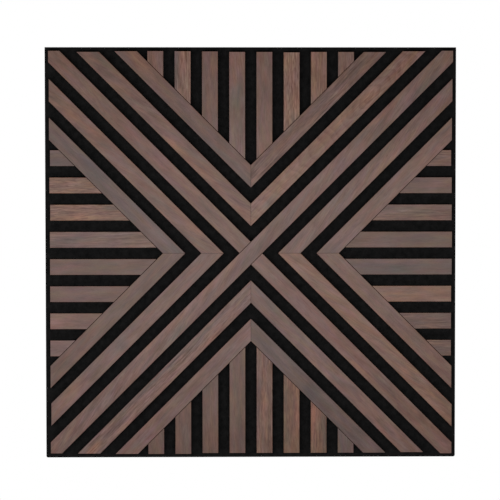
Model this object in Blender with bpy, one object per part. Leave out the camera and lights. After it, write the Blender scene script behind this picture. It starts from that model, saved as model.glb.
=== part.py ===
"""Acoustic wall panel: walnut-veneered slats on a black felt board, laid as diagonals, chevrons and straight rows.

Metres, +Z up. The panel hangs upright with its face towards -Y. The origin is the middle of its back, on the wall.
"""

import math

import bmesh
import bpy
from mathutils import Vector

# Board
PANEL_SIDE = 0.600
FELT_THICKNESS = 0.009
FELT_TOP_CORNER = 0.0008
FELT_BOTTOM_CORNER = 0.0025
FELT_CORNER_SEGMENTS = 4

# Slats
SLAT_WIDTH = 0.0231
SLAT_GAP = 0.01645
SLAT_THICKNESS = 0.012
SLAT_ARRIS = 0.0004
ARRIS_SEGMENTS = 2
CHEVRON_ROWS = ("inner", "outer")

# Clearances
FELT_MARGIN = 0.0079
GLUE_LINE = 0.0003
BUTT_JOINT = 0.0006
MITRE_JOINT = 0.0003

# Places that follow from the sizes above
SLAT_PITCH = SLAT_WIDTH + SLAT_GAP
SLAT_LIMIT = PANEL_SIDE / 2 - FELT_MARGIN
SLAT_CENTRE_DEPTH = FELT_THICKNESS + GLUE_LINE + SLAT_THICKNESS / 2
STRAIGHT_EDGE = len(CHEVRON_ROWS) * SLAT_PITCH + SLAT_WIDTH / 2 + BUTT_JOINT
STRAIGHT_START = STRAIGHT_EDGE * math.sqrt(2)
STRAIGHT_PER_HALF = math.floor((SLAT_LIMIT - SLAT_WIDTH / 2 - STRAIGHT_START) / SLAT_PITCH + 0.5)

# Directions in the panel's plane, as (x, z)
RIGHT = Vector((1, 0))
UP = Vector((0, 1))
RISING = (RIGHT + UP).normalized()
FALLING = (UP - RIGHT).normalized()


def clear_scene():
    for obj in list(bpy.data.objects):
        bpy.data.objects.remove(obj, do_unlink=True)


def collection(name):
    group = bpy.data.collections.new(name)
    bpy.context.scene.collection.children.link(group)
    return group


def material(name, colour, roughness, metallic=0.0):
    made = bpy.data.materials.new(name)
    made.use_nodes = True
    shader = made.node_tree.nodes["Principled BSDF"]
    shader.inputs["Base Color"].default_value = (*colour, 1.0)
    shader.inputs["Roughness"].default_value = roughness
    shader.inputs["Metallic"].default_value = metallic
    return made


def finish_object(name, bm, materials):
    """Turns a finished bmesh into a named object that hangs on the panel's origin."""
    mesh = bpy.data.meshes.new(name)
    bm.to_mesh(mesh)
    bm.free()
    for item in materials:
        mesh.materials.append(item)
    obj = bpy.data.objects.new(name, mesh)
    parts.objects.link(obj)
    obj.parent = wall_point
    return obj


def box(length, thickness, width):
    """A box centred on the origin: its length along X, its thickness along Y, its width along Z."""
    bm = bmesh.new()
    bmesh.ops.create_cube(bm, size=1.0)
    bmesh.ops.scale(bm, vec=(length, thickness, width), verts=bm.verts)
    return bm


def edge_middle(edge):
    return (edge.verts[0].co + edge.verts[1].co) / 2


def runs_along(edge, axis):
    direction = (edge.verts[1].co - edge.verts[0].co).normalized()
    return abs(direction[axis]) > 0.99


# The felt board is cut from a sheet, and its lower corners are more worn than its upper ones.


def round_corners(bm, top, radius):
    corners = [e for e in bm.edges if runs_along(e, 1) and (edge_middle(e).z > 0) == top]
    bmesh.ops.bevel(
        bm, geom=corners, offset=radius, segments=FELT_CORNER_SEGMENTS, profile=0.5, affect="EDGES"
    )


def make_felt_board():
    bm = box(PANEL_SIDE, FELT_THICKNESS, PANEL_SIDE)
    round_corners(bm, True, FELT_TOP_CORNER)
    round_corners(bm, False, FELT_BOTTOM_CORNER)
    board = finish_object("felt_backing", bm, [felt])
    board.location = (0, -FELT_THICKNESS / 2, 0)


# A slat is moulded as a long strip with its two front arrises eased, then sawn to its outline.


def saw(bm, normal, distance):
    """Cuts away what lies beyond the plane at this distance along the normal, and closes the cut."""
    everything = list(bm.verts) + list(bm.edges) + list(bm.faces)
    cut = bmesh.ops.bisect_plane(
        bm, geom=everything, plane_co=normal * distance, plane_no=normal, clear_outer=True
    )
    rim = [item for item in cut["geom_cut"] if isinstance(item, bmesh.types.BMEdge)]
    if rim:
        bmesh.ops.contextual_create(bm, geom=rim)


def slat_blank():
    bm = box(2 * PANEL_SIDE, SLAT_THICKNESS, SLAT_WIDTH)
    arrises = [e for e in bm.edges if runs_along(e, 0) and edge_middle(e).y < 0]
    bmesh.ops.bevel(
        bm, geom=arrises, offset=SLAT_ARRIS, segments=ARRIS_SEGMENTS, profile=0.5, affect="EDGES"
    )
    return bm


def panel_cuts():
    """The four lines that every slat is trimmed to, as (direction, distance) from the panel's centre."""
    return [(RIGHT, SLAT_LIMIT), (-RIGHT, SLAT_LIMIT), (UP, SLAT_LIMIT), (-UP, SLAT_LIMIT)]


def make_slat(name, place, heading, joints):
    """A slat through this place of the panel, laid along the heading and sawn at its joints."""
    bm = slat_blank()
    across = Vector((-heading.y, heading.x))
    for direction, distance in panel_cuts() + joints:
        local = Vector((direction.dot(heading), 0, direction.dot(across)))
        saw(bm, local, distance - direction.dot(place))
    bmesh.ops.recalc_face_normals(bm, faces=bm.faces)
    for face in bm.faces:
        face.material_index = 0 if face.normal.y < -0.5 else 1
    slat = finish_object(name, bm, [veneer, dyed_mdf])
    slat.location = (place.x, -SLAT_CENTRE_DEPTH, place.y)
    slat.rotation_euler = (0, -math.atan2(heading.y, heading.x), 0)


def make_diagonals():
    """One slat from corner to corner, and the other diagonal in two halves that butt against it."""
    centre = Vector((0, 0))
    make_slat("long_slat", centre, RISING, [])
    butt = SLAT_WIDTH / 2 + BUTT_JOINT
    make_slat("half_slat_top_left", centre, FALLING, [(-FALLING, -butt)])
    make_slat("half_slat_bottom_right", centre, -FALLING, [(FALLING, -butt)])


def make_chevron(row, name, first_end, first, second_end, second):
    """Two slats that meet in a mitre. Each runs along one diagonal, set out along the other."""
    apex = (first + second) * (row * SLAT_PITCH)
    mitre = (first - second).normalized()
    make_slat(f"{name}_{first_end}", apex, first, [(-mitre, -MITRE_JOINT / 2)])
    make_slat(f"{name}_{second_end}", apex, second, [(mitre, -MITRE_JOINT / 2)])


def make_chevrons():
    for row, title in enumerate(CHEVRON_ROWS, start=1):
        make_chevron(row, f"{title}_chevron_top", "left", FALLING, "right", RISING)
        make_chevron(row, f"{title}_chevron_bottom", "left", -RISING, "right", -FALLING)
        make_chevron(row, f"{title}_chevron_left", "upper", FALLING, "lower", -RISING)
        make_chevron(row, f"{title}_chevron_right", "upper", RISING, "lower", -FALLING)


def make_straight_half(name, outward, sideways):
    """Slats square to one side of the panel, numbered from its middle. Each stops against the outer chevron."""
    chevron = (outward - sideways).normalized()
    for number in range(1, STRAIGHT_PER_HALF + 1):
        offset = (number - 0.5) * SLAT_PITCH
        place = sideways * offset + outward * (offset + STRAIGHT_START)
        make_slat(f"{name}_{number}", place, outward, [(-chevron, -STRAIGHT_EDGE)])


def make_straight_slats():
    make_straight_half("straight_top_left", UP, -RIGHT)
    make_straight_half("straight_top_right", UP, RIGHT)
    make_straight_half("straight_bottom_left", -UP, -RIGHT)
    make_straight_half("straight_bottom_right", -UP, RIGHT)
    make_straight_half("straight_left_upper", -RIGHT, UP)
    make_straight_half("straight_left_lower", -RIGHT, -UP)
    make_straight_half("straight_right_upper", RIGHT, UP)
    make_straight_half("straight_right_lower", RIGHT, -UP)


clear_scene()
parts = collection("acoustic_wall_panel")
wall_point = bpy.data.objects.new("wall_point", None)
parts.objects.link(wall_point)
veneer = material("walnut_veneer", (0.168, 0.112, 0.098), 0.55)
dyed_mdf = material("black_dyed_mdf", (0.009, 0.008, 0.008), 0.85)
felt = material("black_pet_felt", (0.007, 0.006, 0.006), 0.95)
make_felt_board()
make_diagonals()
make_chevrons()
make_straight_slats()
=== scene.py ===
# %% [markdown]
# # An acoustic wall panel, dressed for its portrait
#
# The panel is a 600 mm square of black felt with 51 wooden slats glued to it. The solids come from a finished
# CAD model, and this notebook gives them their looks: smoked walnut veneer on black MDF, over needle-punched
# felt. Everything is in metres, apart from what is named for its millimetres. The face looks towards -Y, X
# runs to the right and Z runs up.

# %% Load the solids
import math
import random

import bmesh
import bpy
from mathutils import Matrix, Vector, noise


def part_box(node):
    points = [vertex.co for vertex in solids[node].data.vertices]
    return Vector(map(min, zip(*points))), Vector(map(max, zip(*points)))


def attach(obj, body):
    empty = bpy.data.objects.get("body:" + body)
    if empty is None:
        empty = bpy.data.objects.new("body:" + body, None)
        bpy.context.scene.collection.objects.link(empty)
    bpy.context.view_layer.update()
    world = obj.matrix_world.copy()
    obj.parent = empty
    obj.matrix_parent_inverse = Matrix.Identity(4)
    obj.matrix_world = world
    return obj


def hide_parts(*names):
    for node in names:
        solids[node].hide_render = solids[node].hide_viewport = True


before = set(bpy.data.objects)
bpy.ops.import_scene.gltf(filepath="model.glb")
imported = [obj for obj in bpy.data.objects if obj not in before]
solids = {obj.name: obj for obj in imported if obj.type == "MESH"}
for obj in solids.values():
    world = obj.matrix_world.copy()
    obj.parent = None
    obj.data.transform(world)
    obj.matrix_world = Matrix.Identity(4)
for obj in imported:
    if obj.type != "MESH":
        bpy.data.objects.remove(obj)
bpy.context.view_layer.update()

MM = 1000.0

# %% [markdown]
# ## The camera
#
# The panel is photographed almost square on, with a long lens. A long lens keeps the sides parallel, so its
# place shows only in small things: the top edge is a little wider than the bottom one, which puts the camera
# a little higher than the panel's middle. A lens of 123 mm from 2.5 m away frames the panel with a calm white
# margin.

# %% Set up the camera
CAMERA_PLACE = Vector((-0.033, -2.509, 0.089))
CAMERA_AIM = Vector((-0.0013, -0.0213, 0.0047))
CAMERA_ROLL = math.radians(0.04)
LENS_MM = 123.1
SENSOR_MM = 36.0


def put_in_scene(name, data):
    """Makes an object of this data and links it to the scene. Without the link it would never show."""
    made = bpy.data.objects.new(name, data)
    bpy.context.scene.collection.objects.link(made)
    return made


camera_data = bpy.data.cameras.new("portrait_camera")
camera_data.lens = LENS_MM
camera_data.sensor_width = SENSOR_MM
camera = put_in_scene("portrait_camera", camera_data)
camera.matrix_world = (
    Matrix.Translation(CAMERA_PLACE)
    @ (CAMERA_AIM - CAMERA_PLACE).to_track_quat("-Z", "Y").to_matrix().to_4x4()
    @ Matrix.Rotation(-CAMERA_ROLL, 4, "Z")
)
bpy.context.scene.camera = camera
print("camera", round((CAMERA_AIM - CAMERA_PLACE).length, 2), "m from the panel")

# %% [markdown]
# ## Colours and nodes
#
# A colour picker shows sRGB values, but a renderer adds and multiplies light in linear values. One function
# does that conversion. A second one adds any shader node, with its settings and whatever feeds its sockets,
# and gives back one of its outputs, so that each material below reads as a recipe. Nodes such as Math have
# several sockets of one name, so theirs are called by number, counted from 0.

# %% Helpers for materials
# A Mix node that blends colours takes them in sockets 6 and 7 and gives the blend back in output 2.
COLOUR_MIX = {"output": 2, "data_type": "RGBA"}


def linear(hex_colour):
    """An sRGB hex colour, such as "#725e58", as linear red, green, blue and alpha."""
    channels = [int(hex_colour[i : i + 2], 16) / 255 for i in (1, 3, 5)]
    return [c / 12.92 if c <= 0.04045 else ((c + 0.055) / 1.055) ** 2.4 for c in channels] + [1.0]


def new_material(name):
    """An empty material, and its node tree."""
    made = bpy.data.materials.new(name)
    made.use_nodes = True
    made.node_tree.nodes.clear()
    return made, made.node_tree


def add(tree, kind, inputs=None, output=0, **settings):
    """Adds a shader node and gives back one output. A socket takes a plain value or another node's output."""
    node = tree.nodes.new("ShaderNode" + kind)
    for name, value in settings.items():
        setattr(node, name, value)
    for socket, value in (inputs or {}).items():
        if isinstance(value, bpy.types.NodeSocket):
            tree.links.new(value, node.inputs[socket])
        else:
            node.inputs[socket].default_value = value
    return node.outputs[output] if node.outputs else node


def place_in_mm(tree):
    """Each point's own place in its object, in millimetres."""
    place = add(tree, "TexCoord", output="Object")
    return add(tree, "VectorMath", {0: place, 1: (MM, MM, MM)}, operation="MULTIPLY")


# %% [markdown]
# ## Light
#
# The white surround is the world itself. To the lens it is pure white, but it lights the panel more weakly
# than that, as paper some metres away would, and so the black felt stays black. The main light is a long low
# soft box across the panel's middle height. It gives the lacquer a pale haze there that fades towards the top
# and bottom edges, and it reaches well into the gaps. It hangs a little left of the middle, so that side is a
# touch brighter. A studio would leave a slot in it for the lens; here the lamp is simply invisible to the
# camera. The ceiling light comes from above and behind, so it brightens the floor and passes by the face. It
# is a sun with a wide spread, which keeps its shadows soft.

# %% Light the studio
SURROUND_LIGHT = 0.05
SOFT_BOX_PLACE = Vector((-0.13, -1.2, -0.035))
SOFT_BOX_WIDTH = 1.8
SOFT_BOX_HEIGHT = 0.25
SOFT_BOX_WATTS = 15.3
CEILING_LIGHT = 1.8
CEILING_TILT = math.radians(20)
CEILING_SPREAD = math.radians(20)

world = bpy.data.worlds.new("white_surround")
bpy.context.scene.world = world
world.use_nodes = True
sky = world.node_tree
sky.nodes.clear()
as_seen = add(sky, "Background", {"Color": linear("#ffffff"), "Strength": 1.0})
as_light = add(sky, "Background", {"Color": linear("#ffffff"), "Strength": SURROUND_LIGHT})
to_the_lens = add(sky, "LightPath", output="Is Camera Ray")
surround = add(sky, "MixShader", {0: to_the_lens, 1: as_light, 2: as_seen})
add(sky, "OutputWorld", {"Surface": surround})

box_data = bpy.data.lights.new("long_soft_box", "AREA")
box_data.shape = "RECTANGLE"
box_data.size = SOFT_BOX_WIDTH
box_data.size_y = SOFT_BOX_HEIGHT
box_data.energy = SOFT_BOX_WATTS
soft_box = put_in_scene("long_soft_box", box_data)
soft_box.location = SOFT_BOX_PLACE
soft_box.rotation_euler = (-SOFT_BOX_PLACE).to_track_quat("-Z", "Y").to_euler()
soft_box.visible_camera = False

ceiling_data = bpy.data.lights.new("ceiling_light", "SUN")
ceiling_data.energy = CEILING_LIGHT
ceiling_data.angle = CEILING_SPREAD
ceiling = put_in_scene("ceiling_light", ceiling_data)
ceiling.rotation_euler = (-CEILING_TILT, 0, 0)
bpy.context.scene.view_settings.view_transform = "Standard"
print("a soft box of", SOFT_BOX_WIDTH, "by", SOFT_BOX_HEIGHT, "m, and a ceiling light")

# %% [markdown]
# ## Floor
#
# The floor lies 1.6 m below the panel's middle, where a panel hung at eye level has it. It is plain pale
# paint, with the faint mottle that a roller leaves.

# %% Make the floor
FLOOR_DROP = 1.6
FLOOR_RADIUS = 5.0
ROLLER_MARKS_PER_METRE = 30.0

paint, tree = new_material("matt_floor_paint")
place = add(tree, "TexCoord", output="Object")
mottle = add(tree, "TexNoise", {"Vector": place, "Scale": ROLLER_MARKS_PER_METRE, "Detail": 3.0})
colour = add(tree, "Mix", {0: mottle, 6: linear("#e4e7ea"), 7: linear("#eef1f4")}, **COLOUR_MIX)
shader = add(tree, "BsdfPrincipled", {"Base Color": colour, "Roughness": 0.9})
add(tree, "OutputMaterial", {"Surface": shader})

bm = bmesh.new()
bmesh.ops.create_circle(bm, cap_ends=True, segments=96, radius=FLOOR_RADIUS)
floor_mesh = bpy.data.meshes.new("studio_floor")
bm.to_mesh(floor_mesh)
bm.free()
floor_mesh.materials.append(paint)
floor = put_in_scene("studio_floor", floor_mesh)
floor.location = (0, 0, -FLOOR_DROP)
print("floor", FLOOR_DROP, "m down")

# %% [markdown]
# ## Black needle felt
#
# The backing is PET felt: crimped plastic fibres, dyed black, laid as a fleece and tangled with barbed
# needles, then pressed to 9 mm. It reflects very little, and what it does reflect comes from single fibres
# that catch the light. Real fibres are about 0.03 mm thick, which no picture of a whole panel can show, so
# they are drawn 0.4 mm wide. Three noises, each stretched in its own direction, make the tangle. The
# brightest one wins at each point. A soft cloud is added to it with half the weight, and whatever still lies
# below 0.70 is as dark as the felt gets.

# %% Felt material
FIBRE_WIDTH_MM = 0.4
FIBRE_LENGTH_MM = 6.0
FIBRE_DIRECTIONS = (12, 74, 137)
FIBRE_BEND_MM = 5.0
CLOUD_MM = 9.0
CLOUD_SHARE = 0.5
DARK_UP_TO = 0.70

felt, tree = new_material("black_needle_felt")
place_mm = place_in_mm(tree)
bend = add(tree, "TexNoise", {"Vector": place_mm, "Scale": 1 / FIBRE_BEND_MM, "Detail": 2.0}, output="Color")
bend_mm = (FIBRE_BEND_MM, FIBRE_BEND_MM, FIBRE_BEND_MM)
bent = add(tree, "VectorMath", {0: bend, 1: bend_mm, 2: place_mm}, operation="MULTIPLY_ADD")
tangle = 0.0
for angle in FIBRE_DIRECTIONS:
    turned = add(tree, "Mapping", {"Vector": bent, "Rotation": (0, math.radians(angle), 0)})
    stretch = (1 / FIBRE_WIDTH_MM, 1 / FIBRE_WIDTH_MM, 1 / FIBRE_LENGTH_MM)
    drawn = add(tree, "VectorMath", {0: turned, 1: stretch}, operation="MULTIPLY")
    fibre = add(tree, "TexNoise", {"Vector": drawn, "Scale": 1.0, "Detail": 1.0})
    tangle = add(tree, "Math", {0: tangle, 1: fibre}, operation="MAXIMUM")
cloud = add(tree, "TexNoise", {"Vector": place_mm, "Scale": 1 / CLOUD_MM, "Detail": 3.0})
light_caught = add(tree, "Math", {0: cloud, 1: CLOUD_SHARE, 2: tangle}, operation="MULTIPLY_ADD")
light_caught = add(tree, "MapRange", {"Value": light_caught, "From Min": DARK_UP_TO})
colour = add(tree, "Mix", {0: light_caught, 6: linear("#090909"), 7: linear("#1a1919")}, **COLOUR_MIX)
raised = add(tree, "Bump", {"Height": tangle, "Strength": 0.7, "Distance": 0.0003})
finish = {"Roughness": 1.0, "Specular IOR Level": 0.06, "Sheen Weight": 0.02, "Sheen Roughness": 0.6}
shader = add(tree, "BsdfPrincipled", {"Base Color": colour, "Normal": raised, **finish})
add(tree, "OutputMaterial", {"Surface": shader})
print(felt.name, "fibres drawn", FIBRE_WIDTH_MM, "mm wide")

# %% [markdown]
# ## Black-dyed MDF
#
# Each slat is a strip of medium density fibreboard whose fibres were dyed black before pressing, so the sawn
# sides are black right through. The saw leaves them matt, with fibre bundles about half a millimetre long
# that are a little paler than the rest.

# %% MDF material
BUNDLE_MM = 0.5
PALE_BUNDLES = {"From Min": 0.35, "From Max": 0.75}

dyed_mdf, tree = new_material("black_dyed_mdf")
bundles = add(tree, "TexNoise", {"Vector": place_in_mm(tree), "Scale": 1 / BUNDLE_MM, "Detail": 3.0})
pale = add(tree, "MapRange", {"Value": bundles, **PALE_BUNDLES})
colour = add(tree, "Mix", {0: pale, 6: linear("#0e0c0c"), 7: linear("#292423")}, **COLOUR_MIX)
sawn = add(tree, "Bump", {"Height": bundles, "Strength": 0.4, "Distance": 0.0001})
finish = {"Roughness": 0.85, "Specular IOR Level": 0.25}
shader = add(tree, "BsdfPrincipled", {"Base Color": colour, "Normal": sawn, **finish})
add(tree, "OutputMaterial", {"Surface": shader})
print(dyed_mdf.name, "bundles", BUNDLE_MM, "mm")

# %% [markdown]
# ## Smoked walnut veneer
#
# The face of a slat is a leaf of walnut 0.6 mm thick, smoked to a grey brown and finished with a matt
# lacquer. All slats share one material, but each was cut from its own place in a leaf. So every point of a
# slat's mesh carries a few facts, and the material reads them as attributes:
#
# - `leaf_colour`: the tone of the leaf at this point
# - `leaf_point`: the point's place in the leaf, in millimetres, with X along the grain
# - `heart_point`: the same point as seen from the heart of the log
# - `figure`: how strongly growth rings, streaks and flecks show in this slat

# %% Read the facts of the cut
veneer, tree = new_material("smoked_walnut_veneer")
leaf_colour = add(tree, "Attribute", output="Color", attribute_name="leaf_colour")
leaf_point = add(tree, "Attribute", output="Vector", attribute_name="leaf_point")
heart_point = add(tree, "Attribute", output="Vector", attribute_name="heart_point")
figure = add(tree, "Attribute", output="Vector", attribute_name="figure")
rings_show, streaks_show, flecks_show = add(tree, "SeparateXYZ", {"Vector": figure}).node.outputs
print(veneer.name, "reads 4 attributes")

# %% [markdown]
# ## The grain wanders
#
# No tree grows quite straight, so its fibres drift sideways by some millimetres and come back. A slow noise
# gives that drift. It is added to the place across the grain, and everything that is drawn afterwards follows
# it.

# %% Bend the grain
WANDER_MM = 4.0
WANDER_LENGTH_MM = 85.0
WANDER_WIDTH_MM = 35.0


def per_size(length, width):
    """The stretch that makes noise this long along the grain and this wide across it, in millimetres."""
    return (1 / length, 1 / width, 1 / width)


stretch = per_size(WANDER_LENGTH_MM, WANDER_WIDTH_MM)
slow = add(tree, "VectorMath", {0: leaf_point, 1: stretch}, operation="MULTIPLY")
drift = add(tree, "TexNoise", {"Vector": slow, "Scale": 1.0, "Detail": 2.0})
drift_mm = add(tree, "Math", {0: drift, 1: 2 * WANDER_MM, 2: -WANDER_MM}, operation="MULTIPLY_ADD")
sideways = add(tree, "CombineXYZ", {"Y": drift_mm})
grain_point = add(tree, "VectorMath", {0: leaf_point, 1: sideways})
print("grain wanders up to", WANDER_MM, "mm over", WANDER_LENGTH_MM, "mm")

# %% [markdown]
# ## Bands, streaks and fibres
#
# Wood is a bundle of long tubes, so every change of tone in it is long and thin. The layers below are the
# same noise, stretched to different lengths: broad colour bands, shorter clouds, streaks of pigment, and
# fibres. Real fibres are far too fine to show, so they are drawn in strands 1.1 mm wide. Each layer makes the
# wood a little lighter or darker, and they are added up in `shade`, which is 1 where nothing changes. Streaks
# come in groups, with calm wood between them, so one more slow noise makes them stronger here and weaker
# there. Fibres show everywhere, but less so in slats that have few streaks.

# %% Draw the bands, streaks and fibres
GRAIN_LAYERS = (
    # what it is on the wood, length and width in mm, and how strongly it shows
    ("colour bands", 110.0, 14.0, 0.60),
    ("clouds", 28.0, 9.0, 1.05),
    ("streaks", 34.0, 1.7, 1.60),
    ("fibres", 10.0, 1.1, 1.30),
)
GROUP_LENGTH_MM = 60.0
GROUP_WIDTH_MM = 16.0
GROUP_WEIGHTS = {"From Min": 0.35, "From Max": 0.65, "To Min": 0.3, "To Max": 1.7}
FIBRES_ALWAYS = 0.5
FIBRES_WITH_STREAKS = 0.7

stretch = per_size(GROUP_LENGTH_MM, GROUP_WIDTH_MM)
stretched = add(tree, "VectorMath", {0: grain_point, 1: stretch}, operation="MULTIPLY")
groups = add(tree, "TexNoise", {"Vector": stretched, "Scale": 1.0, "Detail": 1.0}, label="groups of streaks")
group_weight = add(tree, "MapRange", {"Value": groups, **GROUP_WEIGHTS})
streaks_here = add(tree, "Math", {0: group_weight, 1: streaks_show}, operation="MULTIPLY")
fibre_weight = {0: streaks_show, 1: FIBRES_WITH_STREAKS, 2: FIBRES_ALWAYS}
fibres_here = add(tree, "Math", fibre_weight, operation="MULTIPLY_ADD")
weight_of = {"streaks": streaks_here, "fibres": fibres_here}
shade = 1.0
for title, length, width, strength in GRAIN_LAYERS:
    stretch = per_size(length, width)
    stretched = add(tree, "VectorMath", {0: grain_point, 1: stretch}, operation="MULTIPLY")
    layer = add(tree, "TexNoise", {"Vector": stretched, "Scale": 1.0, "Detail": 2.0}, label=title)
    change = add(tree, "Math", {0: layer, 1: strength, 2: -strength / 2}, operation="MULTIPLY_ADD")
    if title in weight_of:
        change = add(tree, "Math", {0: change, 1: weight_of[title]}, operation="MULTIPLY")
    shade = add(tree, "Math", {0: shade, 1: change}, operation="ADD")
fibres = layer
print(len(GRAIN_LAYERS), "layers of grain")

# %% [markdown]
# ## Growth rings
#
# A log is a nest of cones, one for each year, and a flat cut through them shows arches. Their distance from
# the heart of the log tells which year a point grew in. Within a year the wood darkens slowly and then ends
# in a sharp line, so the rest after whole years is raised to a power, and the last fifth of a year goes back
# to light. A tree's outline is never round, so a noise makes the rings waver, and the slow drift of the grain
# shifts them a little too.

# %% Draw the growth rings
YEAR_MM = 8.0
YEAR_END = 0.80
LATE_WOOD_POWER = 1.6
WAVER_MM = 9.0
WAVER_LENGTH_MM = 26.0

waver_noise = {"Vector": leaf_point, "Scale": 1 / WAVER_LENGTH_MM, "Detail": 1.0}
turned = add(tree, "TexNoise", waver_noise, output="Color")
to_both_sides = {1: (2 * WAVER_MM,) * 3, 2: (-WAVER_MM,) * 3}
waver = add(tree, "VectorMath", {0: turned, **to_both_sides}, operation="MULTIPLY_ADD")
bent_heart = add(tree, "VectorMath", {0: heart_point, 1: waver})
distance = add(tree, "VectorMath", {0: bent_heart}, output="Value", operation="LENGTH")
years = add(tree, "Math", {0: distance, 1: 1 / YEAR_MM, 2: drift}, operation="MULTIPLY_ADD")
part_of_year = add(tree, "Math", {0: years}, operation="FRACT")
late_wood = add(tree, "Math", {0: part_of_year, 1: LATE_WOOD_POWER}, operation="POWER")
back_to_light = {"From Min": YEAR_END, "To Min": 1.0, "To Max": 0.0}
early_again = add(tree, "MapRange", {"Value": part_of_year, **back_to_light})
late_wood = add(tree, "Math", {0: late_wood, 1: early_again}, operation="MULTIPLY")
ring_change = add(tree, "Math", {0: late_wood, 1: rings_show}, operation="MULTIPLY")
shade = add(tree, "Math", {0: shade, 1: ring_change}, operation="SUBTRACT")
print("a year is", YEAR_MM, "mm")

# %% [markdown]
# ## Pores and flecks
#
# Walnut is open-pored: its vessels are cut lengthwise by the knife and show as short dark dashes. They are
# 0.2 mm wide, and drawn 0.7 mm wide here so that they show. Some leaves also have longer flecks, where many
# vessels lie together. Both come from noise that is cut off near its top, which leaves only separate spots.

# %% Draw the pores and flecks
SPOTS = (
    # what it is, length and width in mm, where the noise is cut off, and how dark it gets
    ("pores", 7.0, 0.7, 0.67, 0.28),
    ("flecks", 11.0, 1.0, 0.53, 0.10),
)
SPOT_EDGE = 0.12

weight_of = {"flecks": flecks_show}
pores = 0.0
for title, length, width, cut_off, dark in SPOTS:
    stretch = per_size(length, width)
    stretched = add(tree, "VectorMath", {0: grain_point, 1: stretch}, operation="MULTIPLY")
    spots = add(tree, "TexNoise", {"Vector": stretched, "Scale": 1.0, "Detail": 0.0}, label=title)
    fade_in = {"From Min": cut_off, "From Max": cut_off + SPOT_EDGE, "To Max": dark}
    spots = add(tree, "MapRange", {"Value": spots, **fade_in})
    if title in weight_of:
        spots = add(tree, "Math", {0: spots, 1: weight_of[title]}, operation="MULTIPLY")
    pores = add(tree, "Math", {0: pores, 1: spots}, operation="ADD")
light_left = add(tree, "Math", {0: 1.0, 1: pores}, operation="SUBTRACT")
shade = add(tree, "Math", {0: shade, 1: light_left}, operation="MULTIPLY")
print(len(SPOTS), "kinds of spots")

# %% [markdown]
# ## Tint and lacquer
#
# Smoking turns the tannin in the wood grey, but unevenly, so tan and bluish parts lie side by side, and so do
# mauve and olive ones. For each pair, a stretched noise chooses between the two tints. Dark wood isn't just
# dimmer, it is redder too: from light to dark grain, red falls less than green, and blue falls most. The
# lacquer is matt: light from the lamp spreads into a faint haze. The fibres and pores also raise the surface
# by a few hundredths of a millimetre.

# %% Finish the veneer material
STAINS = (
    # what it is, length and width in mm, and the two tints that it moves between
    ("bluish to tan", 40.0, 9.0, (0.940, 0.996, 1.130), (1.060, 1.000, 0.870)),
    ("olive to mauve", 28.0, 8.0, (0.944, 1.026, 0.950), (1.058, 0.968, 1.062)),
)
STAIN_NOISE = {"From Min": 0.34, "From Max": 0.66}
SHADE_DEPTH = (0.72, 1.0, 1.12)
LACQUER_ROUGHNESS = 0.42
FIBRE_ROUGHNESS = 0.16

colour = leaf_colour
for title, length, width, one_tint, other_tint in STAINS:
    stretch = per_size(length, width)
    stretched = add(tree, "VectorMath", {0: grain_point, 1: stretch}, operation="MULTIPLY")
    stain = add(tree, "TexNoise", {"Vector": stretched, "Scale": 1.0, "Detail": 2.0}, label=title)
    stain = add(tree, "MapRange", {"Value": stain, **STAIN_NOISE})
    tint = add(tree, "Mix", {0: stain, 6: (*one_tint, 1.0), 7: (*other_tint, 1.0)}, **COLOUR_MIX)
    colour = add(tree, "VectorMath", {0: colour, 1: tint}, operation="MULTIPLY")
change = add(tree, "Math", {0: shade, 1: 1.0}, operation="SUBTRACT")
shading = add(tree, "VectorMath", {0: change, 1: SHADE_DEPTH, 2: (1.0, 1.0, 1.0)}, operation="MULTIPLY_ADD")
colour = add(tree, "VectorMath", {0: colour, 1: shading}, operation="MULTIPLY")
matt = add(tree, "Math", {0: fibres, 1: FIBRE_ROUGHNESS, 2: LACQUER_ROUGHNESS}, operation="MULTIPLY_ADD")
height = add(tree, "Math", {0: fibres, 1: pores}, operation="SUBTRACT")
raised = add(tree, "Bump", {"Height": height, "Strength": 0.3, "Distance": 0.0001})
finish = {"Roughness": matt, "Specular IOR Level": 0.4}
shader = add(tree, "BsdfPrincipled", {"Base Color": colour, "Normal": raised, **finish})
add(tree, "OutputMaterial", {"Surface": shader})
print(veneer.name, "has", len(tree.nodes), "nodes")

# %% [markdown]
# ## Working on a solid
#
# Each visible piece starts as its CAD solid, so its size and place are right from the first moment. A solid
# from CAD has few, large faces. To give it a lively surface it is diced first: cut by a row of planes one
# way, and then by a row the other way. After that its points can move by fractions of a millimetre, always
# inwards, so no face grows out of its place.

# %% Helpers for shapes
WELD = 0.00001
FLAT_ANGLE = math.radians(1)
EDGE_ANGLE = math.radians(20)


def copy_of_solid(name):
    """The CAD solid as a bmesh, with its triangles joined into whole faces."""
    bm = bmesh.new()
    bm.from_mesh(solids[name].data)
    bmesh.ops.remove_doubles(bm, verts=bm.verts, dist=WELD)
    bmesh.ops.dissolve_limit(bm, angle_limit=FLAT_ANGLE, verts=bm.verts, edges=bm.edges)
    return bm


def cut(bm, place, direction):
    """Cuts the mesh along a plane through this place and across this direction. Both sides stay."""
    everything = bm.verts[:] + bm.edges[:] + bm.faces[:]
    bmesh.ops.bisect_plane(bm, geom=everything, plane_co=place, plane_no=direction)


def dice(bm, direction, step):
    """Cuts the mesh by planes across this direction, about a step apart, from one end to the other."""
    places = [v.co.dot(direction) for v in bm.verts]
    low, high = min(places), max(places)
    count = round((high - low) / step)
    for number in range(1, count):
        cut(bm, direction * (low + (high - low) * number / count), direction)


def noise_share(place):
    """Smooth noise at this place, as a share from 0 to 1."""
    return 0.5 + 0.5 * noise.noise(place)


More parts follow.
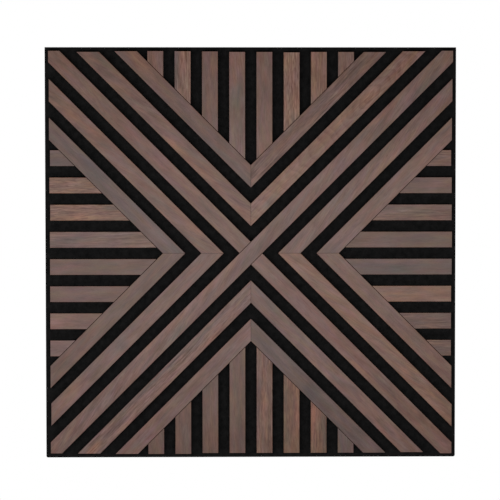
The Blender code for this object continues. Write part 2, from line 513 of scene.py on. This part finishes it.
def finish_piece(name, bm, materials):
    """Makes the mesh an object that stands for the CAD solid of this name, with the finish of this slot."""
    mesh = bpy.data.meshes.new(name + "_dressed")
    bm.to_mesh(mesh)
    bm.free()
    for item in materials:
        mesh.materials.append(item)
    mesh.shade_smooth()
    piece = put_in_scene(name + "_dressed", mesh)
    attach(piece, "root")
    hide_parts(name)
    return piece


# %% [markdown]
# ## The felt board
#
# A knife cuts the board, and the fleece springs back a little, so its edges are soft, and its front has low
# hills where the needles pulled harder. The mesh follows that with a small rounding on the edges and hills of
# a quarter of a millimetre. The sides stay where the knife left them.

# %% Make the felt board
FELT_EDGE_ROUND = 0.0005
FELT_CELL = 0.005
FELT_HILLS = 0.00025
FELT_HILL_MM = 12.0
FRONT_SHARE = 0.9

X = Vector((1, 0, 0))
Y = Vector((0, 1, 0))
Z = Vector((0, 0, 1))
bm = copy_of_solid("felt_backing")
rims = [e for e in bm.edges if abs(e.verts[0].co.y - e.verts[1].co.y) < WELD]
bmesh.ops.bevel(bm, geom=rims, offset=FELT_EDGE_ROUND, segments=2, profile=0.5, affect="EDGES")
dice(bm, X, FELT_CELL)
dice(bm, Z, FELT_CELL)
bm.normal_update()
for vertex in bm.verts:
    if vertex.normal.y < -FRONT_SHARE:
        vertex.co -= vertex.normal * FELT_HILLS * noise_share(vertex.co * MM / FELT_HILL_MM)
board = finish_piece("felt_backing", bm, [felt])
print(board.name, len(board.data.polygons), "faces")

# %% [markdown]
# ## Which leaf each slat was cut from
#
# The slats of one panel come from several leaves, and their tones differ: many are rosy brown or tan, and
# some are darker, greyer or redder. Eight leaves are enough to lay out that play of tones. Every slat that
# isn't named below is from the rosy leaf.

# %% Choose the veneer leaves
LEAF_COLOURS = {
    "rosy": "#664a41",
    "tan": "#66483c",
    "umber": "#60443a",
    "bark": "#5b4035",
    "slate": "#553f38",
    "fawn": "#6f4e3e",
    "honey": "#745445",
    "russet": "#664534",
}
LEAVES = {
    "tan": (
        "half_slat_top_left", "half_slat_bottom_right", "inner_chevron_top_left",
        "inner_chevron_left_upper", "outer_chevron_right_lower", "straight_top_left_4",
        "straight_top_right_1", "straight_top_right_4", "straight_bottom_right_1", "straight_left_lower_3",
        "straight_right_upper_4",
    ),
    "umber": (
        "outer_chevron_top_left", "outer_chevron_top_right", "straight_top_left_2", "straight_left_upper_1",
        "straight_right_upper_2", "straight_right_upper_3",
    ),
    "bark": (
        "outer_chevron_left_lower", "straight_bottom_left_1", "straight_bottom_left_2",
        "straight_bottom_left_3", "straight_bottom_left_4", "straight_left_lower_1",
        "straight_left_lower_2", "straight_right_upper_1", "straight_right_lower_3",
        "straight_right_lower_4",
    ),
    "slate": (
        "outer_chevron_bottom_right", "outer_chevron_left_upper", "straight_left_upper_4",
        "straight_right_lower_1", "straight_bottom_right_4",
    ),
    "fawn": (
        "inner_chevron_right_lower", "straight_left_upper_2", "straight_left_upper_3",
        "straight_right_lower_2", "straight_top_right_3",
    ),
    "honey": ("inner_chevron_top_right", "straight_top_left_3", "straight_top_right_2"),
    "russet": ("straight_bottom_right_2", "straight_bottom_right_3"),
}
leaf_of = {name: leaf for leaf, names in LEAVES.items() for name in names}
slat_names = sorted(name for name in solids if name != "felt_backing")
print({leaf: sum(leaf_of.get(name, "rosy") == leaf for name in slat_names) for leaf in LEAF_COLOURS})

# %% [markdown]
# ## How each slat shows its grain
#
# Where the knife runs along the fibres, a slat is quiet or streaky. Where it crosses them, the grain slants
# over the slat. A cut just under the heart of the log gives arches. Four numbers describe each kind: the
# slant of the grain, and how strongly rings, streaks and flecks show. The one arched slat also says where in
# the panel the heart of its log would lie, in millimetres from the middle.

# %% Choose the figure of each slat
FIGURES = {
    # slant, rings, streaks, flecks
    "quiet": (0.03, 0.03, 0.3, 0.9),
    "streaky": (0.02, 0.02, 1.1, 1.3),
    "slanting": (0.20, 0.05, 0.4, 0.7),
    "flecked": (0.01, 0.02, 0.9, 4.6),
    "arched": (0.02, 0.36, 0.4, 0.2),
}
FIGURED_SLATS = {
    "streaky": (
        "straight_top_left_3", "straight_top_right_3", "straight_top_right_4", "straight_bottom_right_1",
        "straight_bottom_right_2", "straight_bottom_right_3", "straight_left_upper_1",
        "straight_right_upper_2", "straight_right_upper_4", "straight_right_lower_3",
        "straight_right_lower_4", "outer_chevron_top_right", "inner_chevron_bottom_left",
    ),
    "slanting": (
        "long_slat", "inner_chevron_top_left", "inner_chevron_left_upper", "inner_chevron_right_upper",
        "inner_chevron_right_lower",
    ),
    "flecked": ("straight_left_upper_2", "straight_left_upper_3", "straight_top_right_2"),
    "arched": ("inner_chevron_top_right",),
}
figure_of = {name: kind for kind, names in FIGURED_SLATS.items() for name in names}
ARCH_HEARTS_MM = {"inner_chevron_top_right": Vector((172, 0, 226))}
print({kind: sum(figure_of.get(name, "quiet") == kind for name in slat_names) for kind in FIGURES})

# %% [markdown]
# ## Shadows and blushes in the wood
#
# What makes veneer look real are its accidents: a grey shadow where a branch began, a red blush, a pale
# streak of sapwood. Each one below is a soft oval in one slat: its middle in millimetres from the middle of
# the panel (to the right and up), half its length and width, and its tint. Their outlines are stirred with
# noise later on.

# %% Place the shadows and blushes
TINTS = {
    "shadow": (0.63, 0.72, 0.84),
    "grey": (0.78, 0.85, 0.93),
    "dark": (0.85, 0.85, 0.85),
    "olive": (0.78, 0.91, 0.90),
    "sage": (0.95, 1.03, 0.93),
    "mauve": (1.04, 0.94, 1.04),
    "red": (1.11, 0.96, 0.95),
    "rosy": (1.20, 1.10, 1.06),
    "pale": (1.14, 1.13, 1.12),
    "tan": (1.22, 1.14, 1.02),
    "straw": (1.32, 1.23, 1.02),
}
MARKS = {
    # x and z of the middle, half the length and half the width in mm, and the tint
    "long_slat": (
        (-88, -77, 110, 5, "rosy"),
        (-106, -116, 22, 4, "olive"),
        (18, 12, 60, 8, "dark"),
        (118, 128, 55, 4, "pale"),
        (189, 183, 18, 10, "dark"),
        (202, 212, 20, 5, "red"),
        (187, 197, 17, 3, "straw"),
        (252, 243, 22, 5, "olive"),
        (281, 281, 16, 9, "pale"),
    ),
    "half_slat_top_left": (
        (-140, 140, 90, 9, "mauve"),
        (-99, 109, 42, 4, "pale"),
        (-72, 72, 20, 5, "dark"),
        (-200, 200, 22, 5, "dark"),
        (-262, 286, 16, 5, "tan"),
    ),
    "half_slat_bottom_right": (
        (110, -110, 80, 9, "mauve"),
        (163, -173, 22, 5, "tan"),
        (199, -199, 26, 6, "dark"),
        (258, -269, 26, 5, "pale"),
        (283, -275, 16, 6, "mauve"),
    ),
    "inner_chevron_top_left": (
        (-61, 107, 88, 5, "tan"),
        (-93, 160, 22, 4, "dark"),
        (-116, 163, 24, 4, "pale"),
        (-215, 281, 26, 5, "olive"),
    ),
    "inner_chevron_top_right": (
        (29, 75, 17, 7, "grey"),
        (172, 228, 20, 7, "tan"),
        (146, 212, 16, 4, "dark"),
        (189, 256, 16, 4, "dark"),
        (212, 262, 18, 8, "mauve"),
    ),
    "inner_chevron_bottom_left": (
        (-112, -178, 130, 5, "rosy"),
        (-50, -117, 36, 4, "straw"),
        (-120, -166, 130, 3, "olive"),
        (-200, -256, 34, 4, "dark"),
        (-228, -285, 15, 7, "straw"),
    ),
    "inner_chevron_bottom_right": (
        (40, -86, 50, 5, "olive"),
        (104, -170, 18, 5, "pale"),
        (189, -255, 16, 5, "rosy"),
        (210, -276, 16, 5, "pale"),
    ),
    "inner_chevron_left_upper": (
        (-96, 50, 36, 5, "tan"),
        (-228, 173, 16, 8, "red"),
        (-258, 202, 20, 8, "tan"),
    ),
    "inner_chevron_left_lower": (
        (-188, -132, 14, 8, "grey"),
        (-229, -173, 15, 10, "dark"),
        (-264, -208, 24, 9, "tan"),
    ),
    "inner_chevron_right_upper": (
        (205, 139, 100, 5, "tan"),
        (65, 18, 20, 5, "dark"),
        (203, 157, 36, 5, "dark"),
        (266, 220, 16, 5, "red"),
    ),
    "inner_chevron_right_lower": (
        (144, -88, 14, 7, "mauve"),
        (239, -183, 20, 4, "dark"),
        (254, -210, 20, 5, "pale"),
        (275, -208, 28, 5, "dark"),
    ),
    "outer_chevron_top_left": (
        (-163, 281, 30, 9, "tan"),
        (-61, 163, 80, 5, "grey"),
    ),
    "outer_chevron_top_right": (
        (16, 121, 28, 8, "pale"),
        (45, 157, 15, 8, "red"),
        (140, 239, 58, 4, "pale"),
        (136, 253, 58, 5, "dark"),
    ),
    "outer_chevron_bottom_left": (
        (-14, -126, 22, 9, "pale"),
        (-128, -240, 18, 9, "dark"),
        (-152, -265, 16, 12, "mauve"),
    ),
    "outer_chevron_bottom_right": (
        (88, -202, 15, 12, "grey"),
        (108, -222, 14, 8, "dark"),
        (170, -281, 16, 10, "pale"),
    ),
    "outer_chevron_left_upper": (
        (-150, 36, 36, 9, "rosy"),
        (-231, 120, 26, 12, "grey"),
    ),
    "outer_chevron_left_lower": (
        (-218, -100, 22, 5, "pale"),
    ),
    "outer_chevron_right_upper": (
        (115, 3, 14, 11, "dark"),
        (215, 95, 80, 6, "pale"),
        (268, 145, 26, 5, "rosy"),
    ),
    "outer_chevron_right_lower": (
        (215, -116, 55, 3, "tan"),
        (247, -125, 14, 5, "dark"),
    ),
    "straight_top_left_1": (
        (-20, 280, 14, 10, "rosy"),
        (-27, 255, 16, 5, "red"),
        (-20, 195, 30, 12, "sage"),
        (-19, 226, 18, 10, "olive"),
        (-16, 240, 18, 5, "dark"),
    ),
    "straight_top_left_2": (
        (-66, 215, 50, 4, "dark"),
        (-54, 270, 26, 7, "tan"),
    ),
    "straight_top_left_3": (
        (-109, 262, 60, 6, "shadow"),
        (-96, 284, 26, 6, "pale"),
    ),
    "straight_top_left_4": (
        (-146, 271, 22, 4, "dark"),
    ),
    "straight_top_right_1": (
        (18, 156, 15, 6, "pale"),
        (25, 228, 20, 4, "dark"),
    ),
    "straight_top_right_2": (
        (63, 190, 15, 8, "grey"),
        (51, 284, 18, 4, "pale"),
    ),
    "straight_top_right_3": (
        (91, 288, 16, 4, "pale"),
    ),
    "straight_bottom_left_1": (
        (-20, -215, 30, 8, "sage"),
        (-27, -190, 75, 4, "pale"),
        (-16, -265, 32, 6, "dark"),
    ),
    "straight_bottom_left_2": (
        (-67, -192, 18, 5, "dark"),
    ),
    "straight_bottom_right_1": (
        (12, -213, 40, 4, "grey"),
        (20, -205, 80, 3, "tan"),
    ),
    "straight_bottom_right_2": (
        (51, -240, 62, 4, "olive"),
        (67, -237, 60, 4, "pale"),
        (67, -237, 24, 4, "red"),
    ),
    "straight_bottom_right_3": (
        (91, -240, 28, 6, "rosy"),
        (91, -232, 16, 5, "tan"),
        (107, -262, 50, 5, "olive"),
        (107, -255, 40, 4, "dark"),
    ),
    "straight_left_upper_1": (
        (-160, 14, 20, 5, "pale"),
        (-256, 20, 28, 4, "grey"),
        (-273, 28, 16, 3, "red"),
    ),
    "straight_left_upper_2": (
        (-196, 66, 22, 5, "olive"),
        (-262, 51, 32, 4, "rosy"),
    ),
    "straight_left_lower_1": (
        (-210, -20, 36, 10, "sage"),
        (-262, -20, 15, 7, "red"),
        (-285, -20, 10, 7, "mauve"),
    ),
    "straight_left_lower_2": (
        (-235, -51, 60, 5, "mauve"),
        (-235, -68, 60, 4, "mauve"),
    ),
    "straight_left_lower_3": (
        (-232, -107, 15, 4, "dark"),
        (-289, -102, 14, 9, "rosy"),
    ),
    "straight_right_upper_1": (
        (180, 27, 22, 5, "pale"),
        (246, 20, 26, 6, "dark"),
        (270, 19, 22, 9, "sage"),
    ),
    "straight_right_upper_2": (
        (238, 59, 34, 9, "sage"),
        (193, 67, 16, 4, "dark"),
        (266, 51, 28, 4, "rosy"),
    ),
    "straight_right_upper_3": (
        (232, 107, 14, 4, "dark"),
    ),
    "straight_right_upper_4": (
        (272, 142, 16, 6, "dark"),
    ),
    "straight_right_lower_1": (
        (215, -12, 80, 3, "rosy"),
        (213, -24, 28, 6, "olive"),
    ),
    "straight_right_lower_2": (
        (281, -67, 18, 4, "pale"),
    ),
    "straight_right_lower_4": (
        (271, -146, 20, 4, "dark"),
    ),
}
print(sum(len(marks) for marks in MARKS.values()), "shadows and blushes in", len(MARKS), "slats")

# %% [markdown]
# ## Uneven ends
#
# The slats were glued down by hand, and their outer ends don't quite keep a line. Some reach up to 1.8 mm
# beyond it, and some stop up to a millimetre short. It is hard to see, but it is what tells a made thing from
# a drawn one.

# %% Choose how far the ends overhang
OVERHANGS_MM = {
    1.8: ("long_slat",),
    1.5: ("half_slat_top_left",),
    1.2: (
        "half_slat_bottom_right", "inner_chevron_right_lower", "straight_top_left_4",
        "straight_bottom_left_3", "straight_bottom_left_4",
    ),
    1.0: (
        "inner_chevron_top_right", "inner_chevron_right_upper", "outer_chevron_top_left",
        "straight_top_left_3", "straight_right_upper_1", "outer_chevron_bottom_left",
    ),
    0.7: (
        "inner_chevron_left_upper", "outer_chevron_left_upper", "outer_chevron_right_lower",
        "straight_top_left_2", "straight_right_lower_1",
    ),
    0.4: (
        "inner_chevron_bottom_left", "outer_chevron_right_upper", "straight_left_upper_3",
        "straight_right_upper_2", "straight_right_upper_3",
    ),
    -0.6: (
        "inner_chevron_bottom_right", "straight_top_right_2", "straight_left_upper_2",
        "straight_left_upper_4", "straight_right_upper_4",
    ),
    -1.0: ("inner_chevron_left_lower",),
}
overhang_of = {name: overhang for overhang, names in OVERHANGS_MM.items() for name in names}
print(len(overhang_of), "slats end off the line")

# %% [markdown]
# ## From a slat to its leaf
#
# The grain of every slat runs along it, so each slat gets a frame of its own: X along the slat and away from
# the panel's middle, Y across it and Z out of its face. The longest edge of the solid gives the direction.
# The functions below find that frame, move the slat's outer end, choose where in the wood the slat was cut,
# and give the colour of the leaf at any of its points. Rings in a flat cut are longer than they are wide, so
# distances along the grain count half in them. Blender's vector noise starts from another seed each time, so
# it gets a fixed one here, and the marks come out the same in every run.

# %% Helpers for the grain
RING_STRETCH = 2.0
HEART_SPREAD_MM = (200, 40)
LEAF_SPREAD_MM = 900.0
MARK_STIR_MM = 3.0
MARK_STIR_LENGTH_MM = 18.0
MARK_STIR_SEED = 1

noise.seed_set(MARK_STIR_SEED)


def slat_frame(name, bm):
    """The slat's own frame, with its origin in the middle of the slat's face."""
    low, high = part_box(name)
    middle = Vector(((low.x + high.x) / 2, low.y, (low.z + high.z) / 2))
    longest = max(bm.edges, key=lambda e: e.calc_length())
    along = (longest.verts[1].co - longest.verts[0].co).normalized()
    outward = X + Z if name == "long_slat" else middle
    if along.dot(outward) < 0:
        along = -along
    across = (-Y).cross(along)
    return Matrix.Translation(middle) @ Matrix((along, across, -Y)).transposed().to_4x4()


def lengthen(name, bm, own_frame):
    """Moves the slat's outer end along the slat, so that it overhangs the line of the ends as noted above."""
    reach = max(max(abs(v.co.x), abs(v.co.z)) for v in bm.verts)
    along = own_frame.col[0].xyz
    end = [v for v in bm.verts if max(abs(v.co.x), abs(v.co.z)) > reach - WELD and v.co.dot(along) > 0]
    move = overhang_of.get(name, 0.0) / MM / max(abs(along.x), abs(along.z))
    bmesh.ops.translate(bm, verts=end, vec=along * move)


def cut_from_log(name, own_frame):
    """Where in the leaves this slat was cut, and where the heart of the log lies from it, in millimetres."""
    chance = random.Random(name)
    shift = Vector([chance.uniform(-LEAF_SPREAD_MM, LEAF_SPREAD_MM) for axis in range(3)])
    heart = Vector([chance.uniform(-spread, spread) for spread in HEART_SPREAD_MM] + [0])
    if name in ARCH_HEARTS_MM:
        heart = own_frame.inverted() @ (ARCH_HEARTS_MM[name] / MM) * MM
    return shift, heart


def mark_strength(at, half_length, half_width):
    """How much of a mark's tint shows this far from its middle: 1 inside, 0 well outside."""
    return math.exp(-((at.x / half_length) ** 2 + (at.y / half_width) ** 2) ** 2)


def leaf_tone(name, own_frame, place_mm):
    """The leaf's colour at a place in the slat's own frame, with its shadows and blushes."""
    tone = linear(LEAF_COLOURS[leaf_of.get(name, "rosy")])[:3]
    stir = noise.noise_vector(place_mm / MARK_STIR_LENGTH_MM + own_frame.translation * MM) * MARK_STIR_MM
    for x, z, half_length, half_width, tint in MARKS.get(name, ()):
        middle = own_frame.inverted() @ Vector((x / MM, own_frame.translation.y, z / MM)) * MM
        share = mark_strength(place_mm + stir - middle, half_length, half_width)
        tone = [c * (1 + (t - 1) * share) for c, t in zip(tone, TINTS[tint])]
    return (*tone, 1.0)


print("growth rings come out", RING_STRETCH, "times as long as wide")

# %% [markdown]
# ## The slats
#
# A cut 0.6 mm below the face parts the veneer from the MDF. Where cuts meet in the tip of a pointed end, they
# leave points on top of each other, so those are welded before anything moves. The face of a real veneered
# strip isn't dead flat, and its arrises have tiny nicks from saw and handling. So the diced points sink by a
# few hundredths of a millimetre, and those on an arris by a little more wherever the noise rises above 0.3.

# %% Make the slats
VENEER_THICKNESS = 0.0006
SLAT_CELL = 0.003
FACE_WAVES = 0.00004
FACE_WAVE_MM = 14.0
NICK_DEPTH = 0.0003
NICK_MM = 2.5
NICKS_ABOVE = 0.3


def is_on_arris(vertex):
    """Whether two faces meet at an angle here, and not just two cells of a flat face."""
    return any(e.calc_face_angle(0.0) > EDGE_ANGLE for e in vertex.link_edges)


def wear(vertex, grain_place):
    """Sinks a point of the face by the waves there, and by a nick where there is one on the arris."""
    sink = FACE_WAVES * noise_share(grain_place / FACE_WAVE_MM)
    if is_on_arris(vertex):
        sink += NICK_DEPTH * max(0.0, noise.noise(grain_place / NICK_MM) - NICKS_ABOVE)
    vertex.co -= vertex.normal * sink


def dress_slat(name):
    """Builds the visible slat from its solid: diced, veneered, gently worn, and with the facts of its cut."""
    bm = copy_of_solid(name)
    own_frame = slat_frame(name, bm)
    lengthen(name, bm, own_frame)
    bm.transform(own_frame.inverted())
    dice(bm, Y, SLAT_CELL)
    dice(bm, X, SLAT_CELL)
    cut(bm, Z * -VENEER_THICKNESS, Z)
    bmesh.ops.remove_doubles(bm, verts=bm.verts, dist=WELD)
    bm.normal_update()
    slant, rings, streaks, flecks = FIGURES[figure_of.get(name, "quiet")]
    shift, heart = cut_from_log(name, own_frame)
    leaf_colour = bm.verts.layers.float_color.new("leaf_colour")
    leaf_point = bm.verts.layers.float_vector.new("leaf_point")
    heart_point = bm.verts.layers.float_vector.new("heart_point")
    figure = bm.verts.layers.float_vector.new("figure")
    for vertex in bm.verts:
        at = vertex.co * MM
        vertex[leaf_colour] = leaf_tone(name, own_frame, at)
        vertex[leaf_point] = Vector((at.x, at.y - at.x * slant, at.z)) + shift
        vertex[heart_point] = ((at.x - heart.x) / RING_STRETCH, at.y - heart.y, 0)
        vertex[figure] = (rings, streaks, flecks)
        if vertex.co.z > -VENEER_THICKNESS + WELD:
            wear(vertex, at + shift)
    for face in bm.faces:
        face.material_index = 0 if face.calc_center_median().z > -VENEER_THICKNESS else 1
    bm.transform(own_frame)
    slat = finish_piece(name, bm, [veneer, dyed_mdf])
    slat.data.set_sharp_from_angle(angle=EDGE_ANGLE)
    return slat


slats = [dress_slat(name) for name in slat_names]
print(len(slats), "slats,", sum(len(slat.data.polygons) for slat in slats), "faces")
